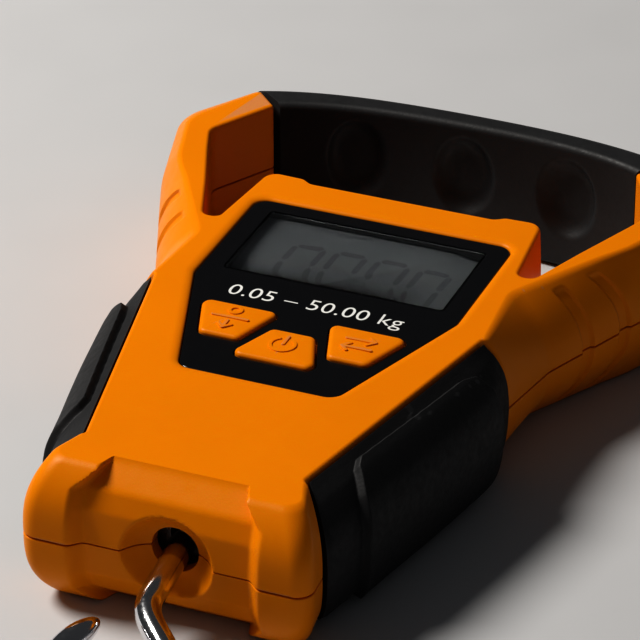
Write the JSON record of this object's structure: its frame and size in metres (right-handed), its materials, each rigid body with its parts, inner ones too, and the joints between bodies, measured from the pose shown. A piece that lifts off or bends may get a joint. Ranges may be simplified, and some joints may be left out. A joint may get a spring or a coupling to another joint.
{
  "type": "digital fish scale",
  "caption": "Hand-held digital hanging scale for fish, with a D-shaped rubber handle, a display, press buttons, side grips and a swivelling steel hook.",
  "frame": {"origin": "on the flat back of the rear shell, behind the centre of the display, with the scale lying on its back", "axes": "+Z out of the front face, +Y from the hook to the handle, X = 0 is the case's plane of symmetry"},
  "size_m": [0.1228, 0.202, 0.0298],
  "materials": {
    "orange_plastic": "semi-gloss moulded orange plastic with a fine satin texture",
    "panel_black": "high-gloss black",
    "clear_acrylic": "clear polished acrylic",
    "gasket_black": "matt black",
    "lcd_grey": "grey liquid-crystal glass",
    "backlight_white": "milky white diffuser",
    "zebra_rubber": "striped elastomer connector",
    "board_green": "green solder mask",
    "keypad_silicone": "grey silicone",
    "black_rubber": "matt black soft-touch rubber",
    "dark_plastic": "glass-filled black plastic",
    "steel": "zinc-plated steel",
    "aluminium": "machined aluminium",
    "potting_white": "white silicone potting",
    "battery_sleeve": "printed film sleeve",
    "spring_steel": "nickel-plated spring steel",
    "brass": "turned brass",
    "polished_steel": "polished steel rod"
  },
  "bodies": {
    "case": {"front_shell": "orange_plastic", "rear_shell": "orange_plastic", "face_panel": "panel_black", "display_window": "clear_acrylic", "display_gasket": "gasket_black", "lcd_glass": "lcd_grey", "lcd_backlight": "backlight_white", "zebra_strip": "zebra_rubber", "circuit_board": "board_green", "controller_chip": "gasket_black", "keypad_sheet": "keypad_silicone", "left_side_grip": "black_rubber", "right_side_grip": "black_rubber", "handle_grip": "black_rubber", "handle_core": "dark_plastic", "carrying_frame": "steel", "core_screw_left": "steel", "core_screw_right": "steel", "load_cell": "aluminium", "gauge_potting": "potting_white", "cell_screw_1": "steel", "cell_screw_2": "steel", "battery_1": "battery_sleeve", "battery_2": "battery_sleeve", "battery_spring_1": "spring_steel", "battery_spring_2": "spring_steel", "battery_contact_1": "spring_steel", "battery_contact_2": "spring_steel", "shell_screw_1": "steel", "shell_screw_2": "steel", "shell_screw_3": "steel", "shell_screw_4": "steel", "shell_screw_5": "steel", "shell_screw_6": "steel"},
    "tare_button": {"tare_button": "orange_plastic"},
    "power_button": {"power_button": "orange_plastic"},
    "unit_button": {"unit_button": "orange_plastic"},
    "battery_door": {"battery_door": "orange_plastic"},
    "swivel": {"swivel_washer": "brass"},
    "hook": {"hook": "polished_steel", "hook_nut": "steel"}
  },
  "joints": [
    {"name": "tare_press", "type": "slide", "parent": "case", "child": "tare_button", "axis": [0, 0, -1], "range_m": [0, 0.0008], "stiffness_N_per_m": 1500, "deforming": ["keypad_sheet"]},
    {"name": "power_press", "type": "slide", "parent": "case", "child": "power_button", "axis": [0, 0, -1], "range_m": [0, 0.0008], "stiffness_N_per_m": 1500, "deforming": ["keypad_sheet"]},
    {"name": "unit_press", "type": "slide", "parent": "case", "child": "unit_button", "axis": [0, 0, -1], "range_m": [0, 0.0008], "stiffness_N_per_m": 1500, "deforming": ["keypad_sheet"]},
    {"name": "door_lift", "type": "slide", "parent": "case", "child": "battery_door", "axis": [0, 0, -1], "range_m": [0, 0.012]},
    {"name": "hook_tilt", "type": "hinge", "parent": "case", "child": "swivel", "pos_m": [0, -0.0785, 0.0147], "axis": [-1, 0, 0], "range_deg": [0, 22]},
    {"name": "hook_swivel", "type": "hinge", "parent": "swivel", "child": "hook", "pos_m": [0, -0.0785, 0.0147], "axis": [0, -0.9816, -0.1908], "continuous": true}
  ]
}
